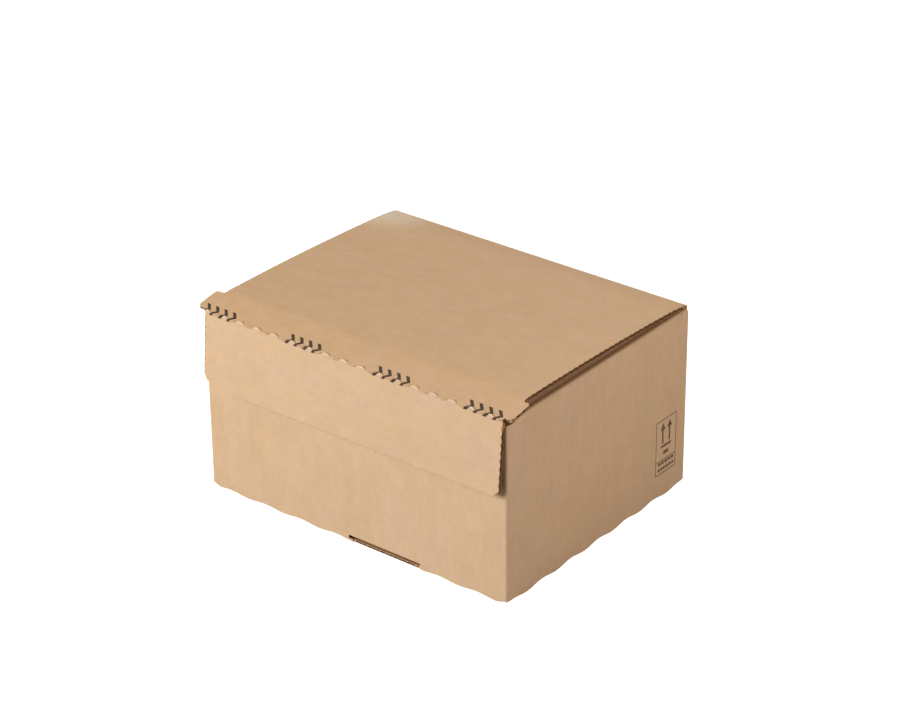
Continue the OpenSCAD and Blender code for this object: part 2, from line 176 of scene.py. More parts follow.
# Printed ink sinks into the kraft sheet, so it lies unevenly and is thinner here and there.
printed_ink, given, made = new_effect("printed_ink", {
    "Position": ("NodeSocketVector", None),
    "Sheet": ("NodeSocketColor", (0.6, 0.4, 0.24, 1)),
    "Ink": ("NodeSocketColor", (0.03, 0.02, 0.015, 1)),
    "Mask": ("NodeSocketFloat", 0.0),
}, {"Color": "NodeSocketColor"})
ink_grain = noise(printed_ink, given["Position"], scale=1300, detail=2)
ink_cover = ramp(printed_ink, ink_grain, 0.3, 0.7, 0.86, 1.0)
ink_share = work_out(printed_ink, "MULTIPLY", given["Mask"], ink_cover)
printed_ink.links.new(mix_colours(printed_ink, ink_share, given["Sheet"], given["Ink"]), made["Color"])

# Raw cut ends of the board are darker and more uneven in tone than its liners. The same mix also lays
# painted shade and painted shadow: in flute cells, in the lock slot and under the lid's side edges.
cut_edge_and_shade, given, made = new_effect("cut_edge_and_shade", {
    "Position": ("NodeSocketVector", None),
    "Sheet": ("NodeSocketColor", (0.6, 0.4, 0.24, 1)),
    "Cut and shade": ("NodeSocketColor", (0.3, 0.2, 0.1, 1)),
    "Mask": ("NodeSocketFloat", 0.0),
}, {"Color": "NodeSocketColor"})
unevenness = noise(cut_edge_and_shade, given["Position"], scale=800, detail=3)
laid_tone = lay_node(cut_edge_and_shade, "ShaderNodeHueSaturation", {
    "Color": given["Cut and shade"], "Value": ramp(cut_edge_and_shade, unevenness, 0.3, 0.7, 0.75, 1.25),
}).outputs[0]
cut_edge_and_shade.links.new(mix_colours(cut_edge_and_shade, given["Mask"], given["Sheet"], laid_tone), made["Color"])


def over(tree, value, limit):
    """1 where a value is more than a limit."""
    return work_out(tree, "GREATER_THAN", value, limit)


def under(tree, value, limit):
    """1 where a value is less than a limit."""
    return work_out(tree, "LESS_THAN", value, limit)


def within(tree, value, low, high):
    """1 where a value lies between two limits."""
    return work_out(tree, "MULTIPLY", over(tree, value, low), under(tree, value, high))


def near(tree, value, middle, reach):
    """1 where a value lies no further than a reach from a middle."""
    return within(tree, value, middle - reach, middle + reach)


def apart(tree, value, middle):
    """How far a value lies from a middle, to either side."""
    return work_out(tree, "ABSOLUTE", work_out(tree, "SUBTRACT", value, middle))


def all_of(tree, *masks):
    """1 where every mask is 1."""
    joined = masks[0]
    for mask in masks[1:]:
        joined = work_out(tree, "MULTIPLY", joined, mask)
    return joined


def any_of(tree, *masks):
    """1 where at least one mask is 1."""
    joined = masks[0]
    for mask in masks[1:]:
        joined = work_out(tree, "MAXIMUM", joined, mask)
    return joined


def new_finish(name):
    """Starts a material: itself, its nodes, and the place and the facing of its points."""
    finish = bpy.data.materials.new(name)
    finish.use_nodes = True
    return finish, finish.node_tree, lay_node(finish.node_tree, "ShaderNodeTexCoord").outputs


def split(tree, vector):
    """A vector's three shares, along X, Y and Z."""
    return lay_node(tree, "ShaderNodeSeparateXYZ", {0: vector}).outputs


def join_shader(tree, colour, roughness, height, relief, relief_depth):
    """Feeds a material's Principled shader with its colour, roughness and relief."""
    shader = tree.nodes["Principled BSDF"]
    bump = lay_node(tree, "ShaderNodeBump", {
        "Height": height, "Strength": relief, "Distance": relief_depth,
    }).outputs[0]
    tree.links.new(colour, shader.inputs["Base Color"])
    tree.links.new(roughness, shader.inputs["Roughness"])
    tree.links.new(bump, shader.inputs["Normal"])
    return shader


def finish_board(tree, colour, sheet):
    """Feeds a board's shader with its colour and with its sheet's roughness and relief."""
    shader = join_shader(
        tree, colour, sheet["Roughness"], sheet["Height"], BOARD_RELIEF, BOARD_RELIEF_DEPTH
    )
    shader.inputs["Specular IOR Level"].default_value = BOARD_GLOSS


def dress(node, finish):
    """Gives one of the frame's solids its material."""
    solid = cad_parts[node]
    solid.data.materials.clear()
    solid.data.materials.append(finish)


body_board, tree, place = new_finish("body_board")
spot = split(tree, place["Object"])
facing = split(tree, place["Normal"])
sheet = place_effect(tree, kraft_sheet, {
    "Position": place["Object"], "Paper": BODY_PAPER, "Streak": WALL_STREAK,
    "Fibre": WALL_FIBRE, "Cloud": SHEET_CLOUD, "Fleck": SHEET_FLECK,
})

# Raw ends: the walls' top edges and the top flaps' free edges show the cut board.
SQUARE_ON = 0.6
WALL_RIM = 0.1498
RIM_BAND = 0.0004
WALL_FRONT = -0.11525
TOP_FLAP_SIDE = 0.11325
TOP_FLAP_SIDE_LOW = WALL_RIM - 0.004
TOP_FLAP_END = 0.09
TOP_FLAP_END_LOW = WALL_RIM - 0.006
upward = over(tree, facing[2], SQUARE_ON)
lengthwise = over(tree, work_out(tree, "ABSOLUTE", facing[0]), SQUARE_ON)
crosswise = over(tree, work_out(tree, "ABSOLUTE", facing[1]), SQUARE_ON)
wall_top = all_of(tree, upward, near(tree, spot[2], WALL_RIM, RIM_BAND))
flap_side = all_of(
    tree, crosswise, over(tree, spot[2], TOP_FLAP_SIDE_LOW), near(tree, spot[1], 0, TOP_FLAP_SIDE)
)
flap_end = all_of(
    tree, lengthwise, near(tree, spot[0], 0, TOP_FLAP_END), over(tree, spot[2], TOP_FLAP_END_LOW)
)

# The lock slot's inside is painted dark as shade, the tab's flute ends get dashes of painted shade,
# and its top face is painted in the cut paper's tone as the shadow under the slot's upper edge.
SLOT_LEFT = -0.0054
SLOT_RIGHT = 0.064
SLOT_TOP = 0.0052
SLOT_MARGIN = 0.0002
SLOT_DEPTH = 0.008
TAB_LEFT = -0.0014
TAB_FRONT = -0.11425
TAB_TOP = 0.0022
TAB_BAND = 0.0003
TAB_SLACK = 0.0001
TAB_FLUTES = 0.00426
TAB_CELLS_LOW = 0.0004
TAB_CELLS_HIGH = 0.0017
in_slot = all_of(
    tree,
    within(tree, spot[0], SLOT_LEFT - SLOT_MARGIN, SLOT_RIGHT + SLOT_MARGIN),
    within(tree, spot[2], SLOT_MARGIN, SLOT_TOP + SLOT_MARGIN),
    within(tree, spot[1], WALL_FRONT + SLOT_MARGIN, WALL_FRONT + SLOT_DEPTH),
)
tab_end = all_of(
    tree, crosswise, near(tree, spot[1], TAB_FRONT, TAB_BAND), under(tree, spot[2], TAB_TOP + TAB_SLACK)
)
tab_face = all_of(
    tree, upward, near(tree, spot[2], TAB_TOP, TAB_BAND), over(tree, spot[0], TAB_LEFT), in_slot
)
flute_step = work_out(tree, "FRACT", work_out(tree, "DIVIDE", spot[0], TAB_FLUTES))
tab_cells = all_of(
    tree, tab_end, under(tree, flute_step, 0.5), within(tree, spot[2], TAB_CELLS_LOW, TAB_CELLS_HIGH)
)

# The lid's side edges rest on the folds over the side walls; a painted shadow darkens the folds just
# under them.
LID_SHADOW_START = 0.1449
LID_SHADOW_FULL = 0.1437
LID_SHADOW_STRENGTH = 0.75
FOLD_MIDDLE_X = 0.1405
FOLD_LOW = WALL_RIM - 0.003
from_middle = work_out(tree, "ABSOLUTE", spot[0])
lid_shadow = ramp(tree, from_middle, LID_SHADOW_START, LID_SHADOW_FULL, 0.0, LID_SHADOW_STRENGTH, kind="SMOOTHSTEP")
painted_lid_shadow = all_of(
    tree, lid_shadow, over(tree, from_middle, FOLD_MIDDLE_X), over(tree, spot[2], FOLD_LOW)
)
# The cut paper's tone lays the raw ends, and also the painted shadow under the lid's side edges and the
# painted shade on the tab's top face.
edged = place_effect(tree, cut_edge_and_shade, {
    "Position": place["Object"], "Sheet": sheet["Color"], "Cut and shade": BODY_CUT_PAPER,
    "Mask": any_of(tree, wall_top, flap_side, flap_end, painted_lid_shadow, tab_face),
})
# Painted shade: the slot's inside and the tab's flute cells get a dark colour where there is only shade.
slot_shade = work_out(tree, "SUBTRACT", in_slot, any_of(tree, tab_end, tab_face))
shade_painted = place_effect(tree, cut_edge_and_shade, {
    "Position": place["Object"], "Sheet": edged["Color"], "Cut and shade": CELL_PAINTED_SHADE,
    "Mask": any_of(tree, slot_shade, tab_cells),
})

# One printed bar: 1 inside a rectangle of the wall, 0 outside.
ink_bar, given, made = new_effect("ink_bar", {
    "Along": ("NodeSocketFloat", 0.0),
    "Up": ("NodeSocketFloat", 0.0),
    "Middle along": ("NodeSocketFloat", 0.0),
    "Middle up": ("NodeSocketFloat", 0.0),
    "Half length": ("NodeSocketFloat", 0.001),
    "Half height": ("NodeSocketFloat", 0.001),
}, {"Mask": "NodeSocketFloat"})
aside = apart(ink_bar, given["Along"], given["Middle along"])
above = apart(ink_bar, given["Up"], given["Middle up"])
ink_bar.links.new(all_of(
    ink_bar, under(ink_bar, aside, given["Half length"]), under(ink_bar, above, given["Half height"])
), made["Mask"])

# One printed arrow head that points up: its width grows downward from the tip.
ink_head, given, made = new_effect("ink_head", {
    "Along": ("NodeSocketFloat", 0.0),
    "Up": ("NodeSocketFloat", 0.0),
    "Middle along": ("NodeSocketFloat", 0.0),
    "Tip": ("NodeSocketFloat", 0.0),
    "Height": ("NodeSocketFloat", 0.005),
    "Spread": ("NodeSocketFloat", 0.6),
}, {"Mask": "NodeSocketFloat"})
aside = apart(ink_head, given["Along"], given["Middle along"])
below = work_out(ink_head, "SUBTRACT", given["Tip"], given["Up"])
half_head = work_out(ink_head, "MULTIPLY", below, given["Spread"])
ink_head.links.new(all_of(
    ink_head, under(ink_head, aside, half_head), under(ink_head, below, given["Height"])
), made["Mask"])

# The plain handling panel on the right wall: a frame with a divider, two arrows that stand
# on a bar, and rows of short bars below. Each bar is given by its middle along the wall and
# above the floor and by half its length and height, and a row by the pitch of its bars too.
PANEL_WALL = 0.144
PANEL_INK = (0.055, 0.027, 0.02, 1)
PANEL_COVER = 0.92
PANEL_LINE = 0.0008
PANEL_LOW = (0.0745, 0.0208)
PANEL_HIGH = (0.1018, 0.0688)
PANEL_DIVIDER = 0.0328
ARROWS = (0.0837, 0.0927)
ARROW_TIP = 0.0655
ARROW_HEAD = 0.0062
ARROW_SPREAD = 0.55
ROW_GAP = 0.2
along_middle, up_middle = [(low + high) / 2 for low, high in zip(PANEL_LOW, PANEL_HIGH)]
half_along, half_up = [(high - low) / 2 for low, high in zip(PANEL_LOW, PANEL_HIGH)]
PANEL_BARS = (
    (along_middle, PANEL_DIVIDER, half_along, PANEL_LINE / 2),
    (ARROWS[0], 0.0535, 0.0010, 0.0062),
    (ARROWS[1], 0.0535, 0.0010, 0.0062),
    (0.0882, 0.0448, 0.0068, 0.0010),
    (0.0882, 0.0388, 0.0033, 0.0015),
)
PANEL_ROWS = (
    (0.0887, 0.0303, 0.0106, 0.0013, 0.0043),
    (0.0889, 0.0251, 0.0112, 0.0012, 0.0031),
)


def panel_bar(tree, spot, along, up, half_length, half_height):
    """1 inside one of the panel's bars."""
    return place_effect(tree, ink_bar, {
        "Along": spot[1], "Up": spot[2], "Middle along": along, "Middle up": up,
        "Half length": half_length, "Half height": half_height,
    })["Mask"]


outer = panel_bar(tree, spot, along_middle, up_middle, half_along, half_up)
inner = panel_bar(tree, spot, along_middle, up_middle, half_along - PANEL_LINE, half_up - PANEL_LINE)
panel_marks = [work_out(tree, "SUBTRACT", outer, inner)]
for bar in PANEL_BARS:
    panel_marks.append(panel_bar(tree, spot, *bar))
for arrow in ARROWS:
    panel_marks.append(place_effect(tree, ink_head, {
        "Along": spot[1], "Up": spot[2], "Middle along": arrow, "Tip": ARROW_TIP,
        "Height": ARROW_HEAD, "Spread": ARROW_SPREAD,
    })["Mask"])
for *row, pitch in PANEL_ROWS:
    step = work_out(tree, "FRACT", work_out(tree, "DIVIDE", spot[1], pitch))
    panel_marks.append(all_of(tree, panel_bar(tree, spot, *row), over(tree, step, ROW_GAP)))
panel_mask = all_of(tree, any_of(tree, *panel_marks), over(tree, spot[0], PANEL_WALL))
printed = place_effect(tree, printed_ink, {
    "Position": place["Object"], "Sheet": shade_painted["Color"], "Ink": PANEL_INK,
    "Mask": work_out(tree, "MULTIPLY", panel_mask, PANEL_COVER),
})
finish_board(tree, printed["Color"], sheet)
dress("box_body", body_board)

# Lid panel and tear strip: one panel of the same blank behind the back crease, bowed up a
# little, with flutes that run left to right and end on its raw side edges.
LID_PAPER = (0.606, 0.385, 0.208, 1)
# A paler tone painted as a sheen at the lid's back left corner.
CORNER_SHEEN_PAPER = (0.73, 0.585, 0.43, 1)
LID_CUT_PAPER = (0.33, 0.165, 0.065, 1)
TOOTH_PAPER = (0.56, 0.365, 0.205, 1)
# Painted shade for the walls of the flute cells behind the raw side edges.
LID_CELL_PAINTED_SHADE = (0.26, 0.13, 0.055, 1)
LID_STREAK = (0.7, 1, 1)
LID_FIBRE = (0.6, 1, 1)
LID_SIDE = 0.1435
STRIP_BACK = -0.087
LOBES_BACK = -0.116
BACK_FOLD = 0.1118
SHEEN_CORNER = (-LID_SIDE, 0.1135)
SHEEN_REACH = 0.052
SHEEN_CORE = 0.008
SHEEN_UPWARD = 0.2
TEETH_BACK = -0.11
FLUTE_PITCH = 0.0064
SIDE_ON = 0.7
SIDE_OFF = 0.5
CELLS_START = 0.0003
CELLS_END = 0.00245
NICK_DEPTH = 0.001
NICK_START = 0.0001
CREASE_Y = -0.117913
CREASE_Z = 0.156059
STRIP_ANGLE = math.radians(9.9)

# Chevrons that show which way the strip tears, in groups printed across the front crease.
# The two shares turn a point's Y and Z from the crease into its way along either panel.
MARK_INK = (0.022, 0.008, 0.004, 1)
MARK_START = -0.1443
MARK_SPACING = 0.0848
MARK_LENGTH = 0.0348
MARK_STROKES = 4
MARK_HALF_HEIGHT = 0.0055
MARK_MIDDLE = 0.003
MARK_LINE = 0.0025
MARK_POINT = 0.9
MARK_OUTWARD = 0.3
SHARE_OF_Y = 0.853
SHARE_OF_Z = 0.929
tear_marks, given, made = new_effect("tear_marks", {
    "Along": ("NodeSocketFloat", 0.0),
    "Up": ("NodeSocketFloat", 0.0),
}, {"Mask": "NodeSocketFloat"})
off_middle = apart(tear_marks, given["Up"], MARK_MIDDLE)
pushed = work_out(tear_marks, "MULTIPLY_ADD", off_middle, MARK_POINT, given["Along"])
from_start = work_out(tear_marks, "SUBTRACT", pushed, MARK_START)
in_group = work_out(tear_marks, "FLOORED_MODULO", from_start, MARK_SPACING)
stroke_pitch = MARK_LENGTH / MARK_STROKES
in_stroke = work_out(tear_marks, "FLOORED_MODULO", in_group, stroke_pitch)
half_stroke = MARK_LINE / 2 * math.sqrt(1 + MARK_POINT * MARK_POINT)
tear_marks.links.new(all_of(
    tear_marks,
    under(tear_marks, apart(tear_marks, in_stroke, stroke_pitch / 2), half_stroke),
    under(tear_marks, in_group, MARK_LENGTH),
    under(tear_marks, off_middle, MARK_HALF_HEIGHT),
), made["Mask"])

# Depth under the lid's bowed outer face, from the height of that face along the panel.
FACE_START = -0.1155
FACE_END = 0.1115
FACE_SIDE = 0.1425
FACE_LOW = 0.148
FACE_SPAN = 0.02
FACE_STEPS = 30
ABOVE_LID = 0.2


def skin_of(node):
    """The surface of one of the frame's solids, ready to be met by rays."""
    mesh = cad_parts[node].data
    return BVHTree.FromPolygons([v.co for v in mesh.vertices], [p.vertices for p in mesh.polygons])


lid_skin = skin_of("lid")
lid_depth, given, made = new_effect("lid_depth", {
    "Along": ("NodeSocketFloat", 0.0),
    "Height": ("NodeSocketFloat", 0.0),
}, {"Depth": "NodeSocketFloat"})
face_curve = lay_node(lid_depth, "ShaderNodeFloatCurve", {
    "Value": ramp(lid_depth, given["Along"], FACE_START, FACE_END),
})
face_points = face_curve.mapping.curves[0].points
for k in range(FACE_STEPS + 1):
    y = FACE_START + (FACE_END - FACE_START) * k / FACE_STEPS
    height = lid_skin.ray_cast(Vector((FACE_SIDE, y, ABOVE_LID)), Vector((0, 0, -1)))[0].z
    level = (height - FACE_LOW) / FACE_SPAN
    if k == 0:
        face_points[0].location = (0, level)
    elif k == FACE_STEPS:
        face_points[-1].location = (1, level)
    else:
        face_points.new(k / FACE_STEPS, level)
for point in face_points:
    point.handle_type = "VECTOR"
face_curve.mapping.update()
face_height = work_out(lid_depth, "MULTIPLY_ADD", face_curve.outputs[0], FACE_SPAN, FACE_LOW)
lid_depth.links.new(work_out(lid_depth, "SUBTRACT", face_height, given["Height"]), made["Depth"])


def fluted_board(name, papers, second_paper_mask, cut, depth, past_edge, across_flutes):
    """Board of the lid or the flap: kraft sheet, raw ends with painted shade in their cells, chevrons.

    papers are its liner, a second paper and the paper of its lobes. On the lid the second paper is a
    painted sheen at the back left corner and the lobe paper lies on the cut fronts of the lobes; on the
    flap the second paper lies on the cut tops of the lobes and the lobe paper is a painted highlight on
    their fronts. second_paper_mask and cut make the masks of the last two, depth and past_edge make
    distances, and across_flutes is an axis.
    """
    liner, second_paper, lobe_paper = papers
    board, tree, place = new_finish(name)
    spot = split(tree, place["Object"])
    facing = split(tree, place["Normal"])
    sideways = work_out(tree, "ABSOLUTE", facing[0])
    turn = work_out(tree, "MULTIPLY", spot[across_flutes], 2 * math.pi / FLUTE_PITCH)
    wave = work_out(tree, "SINE", turn)
    sheet = place_effect(tree, kraft_sheet, {
        "Position": place["Object"], "Streak": LID_STREAK, "Fibre": LID_FIBRE,
        "Paper": mix_colours(tree, second_paper_mask(tree, spot, facing), liner, second_paper),
        "Cloud": SHEET_CLOUD, "Fleck": SHEET_FLECK, "Flute": wave,
    })
    lobes_painted = place_effect(tree, cut_edge_and_shade, {
        "Position": place["Object"], "Sheet": sheet["Color"], "Cut and shade": lobe_paper,
        "Mask": cut(tree, spot, facing),
    })
    crushed = work_out(tree, "MULTIPLY_ADD", wave, NICK_DEPTH / 2, NICK_DEPTH / 2)
    nicks = over(tree, work_out(tree, "ADD", past_edge(tree, spot), crushed), NICK_START)
    edged = place_effect(tree, cut_edge_and_shade, {
        "Position": place["Object"], "Sheet": lobes_painted["Color"], "Cut and shade": LID_CUT_PAPER,
        "Mask": any_of(tree, over(tree, sideways, SIDE_ON), nicks),
    })
    # Painted shade: the walls of the flute cells behind the raw side edges get a dark colour where there
    # is only shade.
    cells = within(tree, depth(tree, spot), CELLS_START, CELLS_END)
    shade_painted = place_effect(tree, cut_edge_and_shade, {
        "Position": place["Object"], "Sheet": edged["Color"], "Cut and shade": LID_CELL_PAINTED_SHADE,
        "Mask": all_of(tree, cells, under(tree, sideways, SIDE_OFF)),
    })
    along_y = work_out(tree, "MULTIPLY", work_out(tree, "SUBTRACT", spot[1], CREASE_Y), SHARE_OF_Y)
    along_z = work_out(tree, "SUBTRACT", spot[2], CREASE_Z)
    marks = place_effect(tree, tear_marks, {
        "Along": spot[0], "Up": work_out(tree, "MULTIPLY_ADD", along_z, SHARE_OF_Z, along_y),
    })
    outward = over(tree, work_out(tree, "SUBTRACT", facing[2], facing[1]), MARK_OUTWARD)
    printed = place_effect(tree, printed_ink, {
        "Position": place["Object"], "Sheet": shade_painted["Color"], "Ink": MARK_INK,
        "Mask": all_of(tree, marks["Mask"], outward),
    })
    finish_board(tree, printed["Color"], sheet)
    return board


def lid_corner_sheen(tree, spot, facing):
    """1 at the lid's back left corner, where a paler patch is painted as a sheen of light."""
    across = work_out(tree, "SUBTRACT", spot[0], SHEEN_CORNER[0])
    along = work_out(tree, "SUBTRACT", spot[1], SHEEN_CORNER[1])
    along_squared = work_out(tree, "MULTIPLY", along, along)
    away = work_out(tree, "SQRT", work_out(tree, "MULTIPLY_ADD", across, across, along_squared))
    painted_sheen = ramp(tree, away, SHEEN_REACH, SHEEN_CORE, kind="SMOOTHSTEP")
    return all_of(tree, painted_sheen, over(tree, facing[2], SHEEN_UPWARD))


def lid_teeth(tree, spot, facing):
    """1 on the cut fronts of the lid's lobes."""
    return all_of(tree, under(tree, facing[1], -SQUARE_ON), under(tree, spot[1], TEETH_BACK))


def under_lid_face(tree, spot):
    """Depth of a point under the lid's outer face, far off at the front lobes and the back fold."""
    depth = place_effect(tree, lid_depth, {"Along": spot[1], "Height": spot[2]})["Depth"]
    beyond = work_out(tree, "ADD", under(tree, spot[1], LOBES_BACK), over(tree, spot[1], BACK_FOLD))
    return work_out(tree, "ADD", depth, beyond)


def past_lid_edge(tree, spot):
    """How far a point lies past the lid's raw side edges, far inside at the tear strip."""
    past = work_out(tree, "SUBTRACT", work_out(tree, "ABSOLUTE", spot[0]), LID_SIDE)
    return work_out(tree, "SUBTRACT", past, under(tree, spot[1], STRIP_BACK))


lid_board = fluted_board(
    "lid_board", (LID_PAPER, CORNER_SHEEN_PAPER, TOOTH_PAPER), lid_corner_sheen, lid_teeth,
    under_lid_face, past_lid_edge, across_flutes=1
)
dress("lid", lid_board)

# Tear tape: a thin white film tape glued under the strip, which cuts the board when an
# ear is pulled. Fine lines run along the film, from ear to ear.
TAPE_DARK = (0.78, 0.77, 0.72, 1)
TAPE_PALE = (0.9, 0.89, 0.85, 1)
TAPE_STRETCH = (0.03, 1, 1)


def thin_layer(name, pattern, dark, pale, rough, rough_gain, relief, relief_depth):
    """A tape, glue or coated paper: one pattern drives its tone, its shine and its relief."""
    layer, tree, place = new_finish(name)
    ripple = pattern(tree, place["Object"])
    roughness = work_out(tree, "MULTIPLY_ADD", ripple, rough_gain, rough)
    join_shader(tree, mix_colours(tree, ripple, dark, pale), roughness, ripple, relief, relief_depth)
    return layer


def film_lines(tree, place):
    """Fine lines along the film."""
    return noise(tree, stretch(tree, place, TAPE_STRETCH), scale=2400, detail=2)


dress("tear_tape", thin_layer(
    "tear_film", film_lines, TAPE_DARK, TAPE_PALE, rough=0.25, rough_gain=0.2,
    relief=0.3, relief_depth=0.00004
))

# Front sealing flap: the blank's last panel, of the same fluted board, beyond the wave-cut
# crease. It hangs free a few degrees off the front wall.
FLAP_PAPER = (0.588, 0.394, 0.235, 1)
# A paler tone painted as a highlight on the fronts of the flap's lobes.
CREST_HIGHLIGHT_PAPER = (0.7, 0.49, 0.315, 1)
CREST_HIGHLIGHT_DEPTH = 0.0005
CREST_START = CREASE_Z - 0.002
CREST_UPWARD = 0.5
HIGHLIGHT_START = CREASE_Z - 0.0001
LOBE_FOOT = CREASE_Z - 0.003
FLAP_LEAN = math.radians(5)
FLAP_MIDDLE = 0.0011
FLAP_SIDE = 0.14275


def behind_flap_face(tree, spot):
    """Depth of a point behind the flap's outer face."""
    from_crease = work_out(tree, "SUBTRACT", spot[1], CREASE_Y)
    inward = work_out(tree, "MULTIPLY", from_crease, math.cos(FLAP_LEAN))
    above = work_out(tree, "SUBTRACT", spot[2], CREASE_Z)
    return work_out(tree, "MULTIPLY_ADD", above, -math.sin(FLAP_LEAN), inward)


def crest_face(tree, spot, facing):
    """1 on the cut tops of the flap's lobes."""
    return all_of(tree, over(tree, facing[2], CREST_UPWARD), over(tree, spot[2], CREST_START))


def crest_highlight(tree, spot, facing):
    """1 on the front of a lobe, where a paler tone is painted as a highlight."""
    front = under(tree, behind_flap_face(tree, spot), CREST_HIGHLIGHT_DEPTH)
    return all_of(tree, over(tree, spot[2], HIGHLIGHT_START), front)


def flap_cells(tree, spot):
    """Depth behind the flap's outer face, far off at its top lobes."""
    return work_out(tree, "ADD", behind_flap_face(tree, spot), over(tree, spot[2], LOBE_FOOT))


def past_flap_edge(tree, spot):
    """How far a point lies past the flap's raw side edges, far inside at its top lobes."""
    past = work_out(tree, "SUBTRACT", apart(tree, spot[0], FLAP_MIDDLE), FLAP_SIDE)
    return work_out(tree, "SUBTRACT", past, over(tree, spot[2], LOBE_FOOT))


flap_board = fluted_board(
    "flap_board", (FLAP_PAPER, LID_PAPER, CREST_HIGHLIGHT_PAPER), crest_face, crest_highlight,
    flap_cells, past_flap_edge, across_flutes=2
)
dress("front_flap", flap_board)

# Creases: where the board bends, its uncut liner carries on from one panel to the next. The
# front one lies just under the lobes of the wave cut, and the back one over the lid's fold.
LINER = 0.00016
LINER_STEPS = 48
SHARP_ANGLE = math.radians(35)
CREASE_DEPTH = 0.00024
CREASE_LEFT = -0.1414
CREASE_RIGHT = 0.1439
CREASE_RUNS = (0.0022, 0.0013, 0.0008)
BOARD = 0.0028
HINGE_Y = 0.11385
HINGE_Z = 0.153041
BACK_SLOPE = math.radians(9)
BACK_HALF_WIDTH = 0.1433
BACK_BEND = BOARD / 2 + LINER * 0.2
BACK_BEND_STEPS = 8
BACK_TAIL = 0.004
BACK_LANDING = 0.0012


def thin_piece(name, points, faces, finish):
    """A thin piece of liner from its points and faces, smooth along its bend."""
    mesh = bpy.data.meshes.new(name)
    mesh.from_pydata(points, [], faces)
    mesh.validate()
    mesh.update()
    for polygon in mesh.polygons:
        polygon.use_smooth = True
    mesh.set_sharp_from_angle(angle=SHARP_ANGLE)
    mesh.materials.append(finish)
    piece = bpy.data.objects.new(name, mesh)
    bpy.context.scene.collection.objects.link(piece)
    return piece


def liner_ribbon(name, path, left, right, finish):
    """A strip of liner that follows a path in Y and Z from left to right."""
    sides = []
    for i in range(len(path)):
        before = Vector(path[max(i - 1, 0)])
        after = Vector(path[min(i + 1, len(path) - 1)])
        along = (after - before).normalized()
        sides.append(Vector((-along.y, along.x)) * LINER / 2)
    ring = [Vector(point) + side for point, side in zip(path, sides)]
    ring += [Vector(point) - side for point, side in reversed(list(zip(path, sides)))]
    count = len(ring)
    points = []
    for k in range(LINER_STEPS + 1):
        x = left + (right - left) * k / LINER_STEPS
        points += [(x, p.x, p.y) for p in ring]
    faces = []
    for k in range(LINER_STEPS):
        for i in range(count):
            a = k * count + i
            b = k * count + (i + 1) % count
            faces.append((a, b, b + count, a + count))
    faces.append(tuple(range(count - 1, -1, -1)))
    faces.append(tuple(range(LINER_STEPS * count, (LINER_STEPS + 1) * count)))
    return thin_piece(name, points, faces, finish)


def on_strip(up, depth):
    """A point of the tear strip, so far up from the crease and under its outer face."""
    return (
        CREASE_Y + up * math.cos(STRIP_ANGLE) + depth * math.sin(STRIP_ANGLE),
        CREASE_Z + up * math.sin(STRIP_ANGLE) - depth * math.cos(STRIP_ANGLE),
    )


def on_flap(down, depth):
    """A point of the flap, so far down from the crease and behind its outer face."""
    return (
        CREASE_Y - down * math.sin(FLAP_LEAN) + depth * math.cos(FLAP_LEAN),
        CREASE_Z - down * math.cos(FLAP_LEAN) - depth * math.sin(FLAP_LEAN),
    )


def on_back_bend(turned):
    """A point of the bend round the back hinge, turned up from level."""
    return HINGE_Y + BACK_BEND * math.cos(turned), HINGE_Z + BACK_BEND * math.sin(turned)


front_path = [on_strip(run, CREASE_DEPTH) for run in CREASE_RUNS]
front_path += [on_flap(run, CREASE_DEPTH) for run in reversed(CREASE_RUNS)]
front_crease = liner_ribbon("front_crease_liner", front_path, CREASE_LEFT, CREASE_RIGHT, flap_board)
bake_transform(front_crease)

back_path = [(HINGE_Y + BACK_BEND, HINGE_Z - BACK_TAIL)]
for step in range(BACK_BEND_STEPS + 1):
    back_path.append(on_back_bend(step / BACK_BEND_STEPS * (math.pi / 2 + BACK_SLOPE)))
last_y, last_z = back_path[-1]
back_path.append((
    last_y - BACK_LANDING * math.cos(BACK_SLOPE), last_z + BACK_LANDING * math.sin(BACK_SLOPE)
))
back_crease = liner_ribbon("back_crease_liner", back_path, -BACK_HALF_WIDTH, BACK_HALF_WIDTH, lid_board)
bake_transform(back_crease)

# Back corners: past the top flaps' end cuts the side walls' own liner still turns over at the
# top, up to the back wall. One bent leaf of it at each side.
FOLD_MIDDLE_Z = 0.1465
FOLD_SAMPLE_Y = 0.1
OFF_FOLD = 0.02
LEAF_FRONT = 0.1046
LEAF_BACK = 0.1131
LEAF_SINK = 0.00002
LEAF_TURNS = [math.radians(turn) for turn in range(-20, 81, 10)]
LEAF_EDGES = ((LEAF_FRONT, 0), (LEAF_FRONT, LINER), (LEAF_BACK, LINER), (LEAF_BACK, 0))
body_skin = skin_of("box_body")
for name, side in (("right_corner_liner", 1), ("left_corner_liner", -1)):
    middle = Vector((side * FOLD_MIDDLE_X, FOLD_SAMPLE_Y, FOLD_MIDDLE_Z))
    rings = [[], [], [], []]
    for turned in LEAF_TURNS:
        outward = Vector((side * math.cos(turned), 0, math.sin(turned)))
        skin = body_skin.ray_cast(middle + outward * OFF_FOLD, -outward)[0]
        for ring, (y, lift) in zip(rings, LEAF_EDGES):
            at = skin + outward * (lift - LEAF_SINK)
            ring.append((at.x, y, at.z))
    count = len(LEAF_TURNS)
    faces = []
    for a in range(4):
        b = (a + 1) % 4
        for k in range(count - 1):
            faces.append((a * count + k, b * count + k, b * count + k + 1, a * count + k + 1))
    faces.append(tuple(a * count for a in (3, 2, 1, 0)))
    faces.append(tuple(a * count + count - 1 for a in (0, 1, 2, 3)))
    leaf = thin_piece(name, [point for ring in rings for point in ring], faces, body_board)
    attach(leaf, "body")

